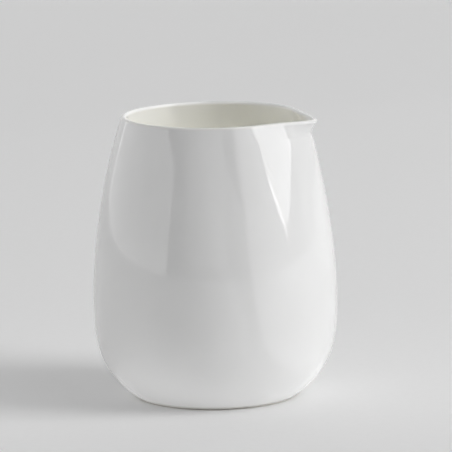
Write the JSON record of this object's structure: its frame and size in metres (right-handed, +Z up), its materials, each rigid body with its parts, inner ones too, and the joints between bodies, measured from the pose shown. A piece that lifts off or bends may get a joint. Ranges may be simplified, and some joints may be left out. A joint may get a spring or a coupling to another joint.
{
  "type": "cream jug",
  "caption": "Small handleless white porcelain cream jug with an egg-shaped body, a narrow foot and a pinched pouring spout drawn out of the rim.",
  "frame": {"origin": "on the jug's axis, at the plane that the foot ring rests on", "axes": "+Z up along the jug's axis, +X towards the pouring spout, +Y to the side"},
  "size_m": [0.0775, 0.0776, 0.09],
  "materials": {
    "biscuit_porcelain": "bare fired clay, fine matt",
    "clear_glaze": "clear gloss glaze on white clay"
  },
  "bodies": {
    "root": {"foot_ring": "biscuit_porcelain", "floor": "biscuit_porcelain", "belly": "biscuit_porcelain", "shoulder": "biscuit_porcelain", "rim": "biscuit_porcelain", "spout": "biscuit_porcelain", "outer_glaze": "clear_glaze", "inner_glaze": "clear_glaze", "base_glaze": "clear_glaze"}
  },
  "joints": []
}
